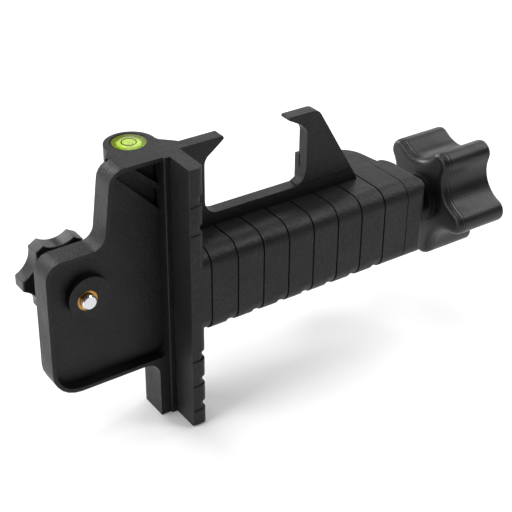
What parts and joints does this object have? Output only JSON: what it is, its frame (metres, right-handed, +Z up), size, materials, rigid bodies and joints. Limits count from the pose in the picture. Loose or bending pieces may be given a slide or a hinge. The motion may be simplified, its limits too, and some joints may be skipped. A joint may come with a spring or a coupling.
{
  "type": "laser receiver rod clamp",
  "caption": "Hand clamp that grips a grade rod between a fixed hook and a screw-driven jaw and holds a laser receiver on its side tray, with a circular vial on top.",
  "frame": {"origin": "rod seat: the corner where the fixed jaw's inner face meets the rail's top, in the middle of the hook plate's thickness", "axes": "+X along the handle from the flange to the clamp knob; +Y away from the side where the receiver is fastened, along the rod; +Z up to the reading edge"},
  "size_m": [0.2145, 0.0579, 0.1221],
  "materials": {
    "nylon_black": "fine moulded texture, glass-filled nylon",
    "knob_black": "satin",
    "vial_clear": "clear polished acrylic",
    "vial_lime": "lime-yellow vial fluid",
    "vial_air": "air bubble",
    "vial_print": "printed ring",
    "vial_white": "smooth moulded",
    "brass": "turned",
    "zinc_steel": "bright zinc plate"
  },
  "bodies": {
    "bracket": {"bracket_body": "nylon_black", "rear_shell": "nylon_black", "end_cap": "nylon_black", "vial_housing": "nylon_black", "vial_cup": "vial_clear", "vial_fluid": "vial_lime", "vial_bubble": "vial_air", "vial_ring": "vial_print", "vial_base": "vial_white", "housing_screws": "zinc_steel", "shell_screws": "zinc_steel", "screw_insert": "brass", "tail_bush": "brass", "end_bush": "brass"},
    "clamp_screw": {"lead_screw": "zinc_steel", "clamp_knob": "knob_black", "knob_insert": "brass", "knob_screw": "zinc_steel", "knob_cap": "knob_black", "thrust_washer": "zinc_steel", "retaining_clip": "zinc_steel"},
    "jaw": {"moving_jaw": "nylon_black", "jaw_carriage": "nylon_black", "jaw_nut": "brass", "carriage_screws": "zinc_steel"},
    "mount_slider": {"mount_washer": "zinc_steel"},
    "mount_screw": {"mount_screw": "zinc_steel", "mount_knob": "knob_black", "mount_knob_insert": "brass", "mount_knob_cap": "knob_black"}
  },
  "joints": [
    {"name": "clamp_turn", "type": "hinge", "parent": "bracket", "child": "clamp_screw", "pos_m": [0, -0.004, -0.025], "axis": [-1, 0, 0], "range_deg": [0, 3720]},
    {"name": "jaw_slide", "type": "slide", "parent": "bracket", "child": "jaw", "axis": [-1, 0, 0], "range_m": [0, 0.031]},
    {"name": "mount_turn", "type": "hinge", "parent": "mount_slider", "child": "mount_screw", "pos_m": [-0.0555, 0.01, -0.0197], "axis": [0, -1, 0], "range_deg": [0, 1559.05]},
    {"name": "mount_advance", "type": "slide", "parent": "bracket", "child": "mount_slider", "axis": [0, -1, 0], "range_m": [0, 0.0055]}
  ],
  "couplings": [
    {"joint": "jaw_slide", "follows": "clamp_turn", "m_per_rad": 0.00047746},
    {"joint": "mount_advance", "follows": "mount_turn", "m_per_rad": 0.00020213}
  ]
}
